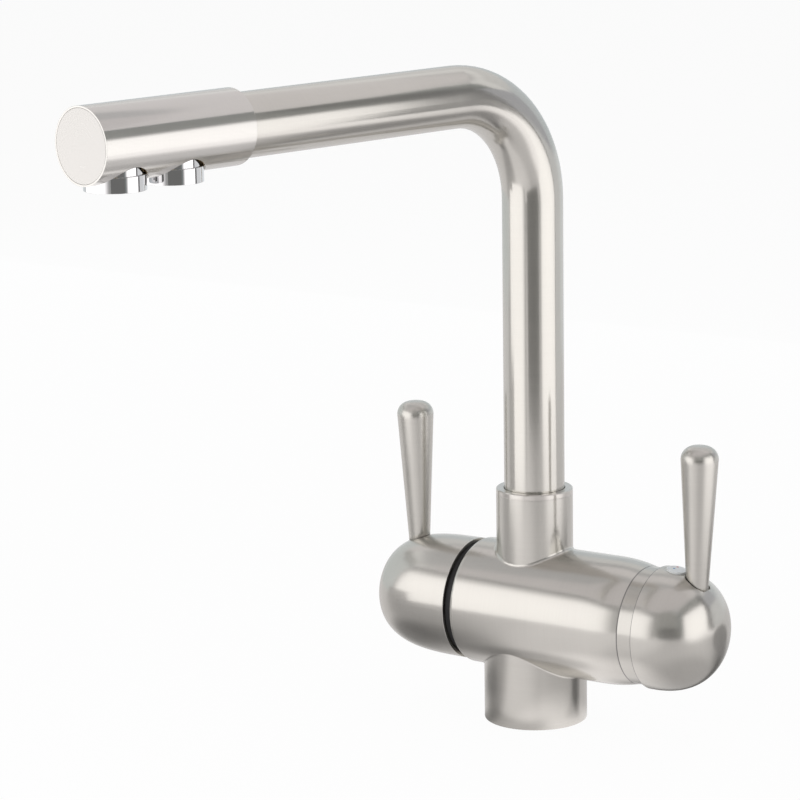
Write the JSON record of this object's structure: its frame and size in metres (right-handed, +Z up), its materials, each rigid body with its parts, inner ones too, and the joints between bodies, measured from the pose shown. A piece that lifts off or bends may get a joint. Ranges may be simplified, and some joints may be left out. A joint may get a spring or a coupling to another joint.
{
  "type": "kitchen mixer tap",
  "caption": "Deck-mounted kitchen mixer tap with a cross barrel body, stick handles at both ends, a swivelling tube spout and separate outlets for mixed and filtered water.",
  "frame": {"origin": "centre of the round base's underside, on the worktop and on the riser's axis", "axes": "+Z up the riser, +X along the barrel towards the mixer handle, -Y towards the front, where the spout points"},
  "size_m": [0.1783, 0.29, 0.3126],
  "materials": {
    "body_nickel": "brushed nickel plate on cast brass, grain round the barrel and up the neck and base",
    "spout_nickel": "brushed nickel plate, grain along the tube",
    "head_nickel": "brushed nickel plate, grain along the head",
    "disc_nickel": "satin nickel plate, turned face",
    "cap_nickel": "brushed nickel plate, grain round the cap",
    "dome_nickel": "brushed nickel plate, grain round the dome",
    "stick_nickel": "brushed nickel plate, grain along the stick",
    "polished_nickel": "bright nickel plate",
    "outlet_chrome": "bright chrome plate on brass",
    "outlet_plastic": "moulded dark grey plastic",
    "gap_black": "moulded black plastic",
    "plug_white": "smooth pale plug with a bright rim",
    "dot_blue": "blue enamel",
    "dot_red": "red enamel",
    "plain_brass": "machined brass",
    "plain_steel": "stainless steel",
    "seal_rubber": "black rubber",
    "disc_ceramic": "lapped white ceramic",
    "cartridge_plastic": "moulded pale plastic",
    "bearing_plastic": "moulded white acetal",
    "tube_plastic": "pale polyethylene tube"
  },
  "bodies": {
    "body": {"tap_body": "body_nickel", "base_seal": "seal_rubber", "neck_ring": "polished_nickel", "neck_bush": "bearing_plastic", "neck_slip_ring": "bearing_plastic", "neck_retaining_screw": "plain_steel", "filtered_socket_seals": "seal_rubber", "filter_gap_ring": "gap_black", "filter_valve_body": "plain_brass", "filter_valve_seat_seal": "seal_rubber", "filter_valve_fixed_disc": "disc_ceramic", "cartridge_seal": "seal_rubber", "cartridge_base": "cartridge_plastic", "cartridge_fixed_disc": "disc_ceramic", "cartridge_housing": "cartridge_plastic", "cartridge_nut": "plain_brass", "trim_ring": "body_nickel"},
    "spout": {"spout_foot": "plain_brass", "spout_foot_seals": "seal_rubber", "spout_tube": "spout_nickel", "spout_inner_tube": "tube_plastic", "outlet_head": "head_nickel", "end_disc": "disc_nickel", "outlet_manifold": "plain_brass", "main_outlet_housing": "outlet_chrome", "main_outlet_insert": "outlet_plastic", "main_outlet_washer": "seal_rubber", "filtered_outlet_housing": "outlet_chrome", "filtered_outlet_insert": "outlet_plastic", "filtered_outlet_washer": "seal_rubber"},
    "filter_handle": {"filter_cap": "cap_nickel", "filter_stick": "stick_nickel", "filter_cap_screw": "plain_steel", "filter_spline_adaptor": "bearing_plastic", "filter_valve_spindle": "plain_brass", "filter_valve_spindle_seals": "seal_rubber", "filter_valve_circlip": "plain_steel", "filter_valve_moving_disc": "disc_ceramic"},
    "mixer_turn": {"cartridge_rotor": "cartridge_plastic", "cartridge_pin": "plain_steel"},
    "mixer_slide": {"cartridge_moving_disc": "disc_ceramic", "cartridge_slider": "cartridge_plastic"},
    "mixer_handle": {"lever_stem": "plain_steel", "mixer_dome": "dome_nickel", "mixer_stick": "stick_nickel", "mixer_dome_screw": "plain_steel", "indicator_plug": "plug_white", "indicator_dot_blue": "dot_blue", "indicator_dot_red": "dot_red"}
  },
  "joints": [
    {"name": "spout_swivel", "type": "hinge", "parent": "body", "child": "spout", "pos_m": [0, 0, 0.09], "axis": [0, 0, 1], "continuous": true},
    {"name": "filter_turn", "type": "hinge", "parent": "body", "child": "filter_handle", "pos_m": [-0.05, 0, 0.0528], "axis": [1, 0, 0], "range_deg": [0, 90]},
    {"name": "mixer_temperature", "type": "hinge", "parent": "body", "child": "mixer_turn", "pos_m": [0.06075, 0, 0.0528], "axis": [1, 0, 0], "range_deg": [-45, 45]},
    {"name": "mixer_flow", "type": "hinge", "parent": "mixer_turn", "child": "mixer_handle", "pos_m": [0.06075, 0, 0.0528], "axis": [0, 1, 0], "range_deg": [0, 20]},
    {"name": "mixer_disc_slide", "type": "slide", "parent": "mixer_turn", "child": "mixer_slide", "axis": [0, 0, 1], "range_m": [0, 0.0035]}
  ],
  "couplings": [
    {"joint": "mixer_disc_slide", "follows": "mixer_flow", "m_per_rad": 0.01}
  ]
}
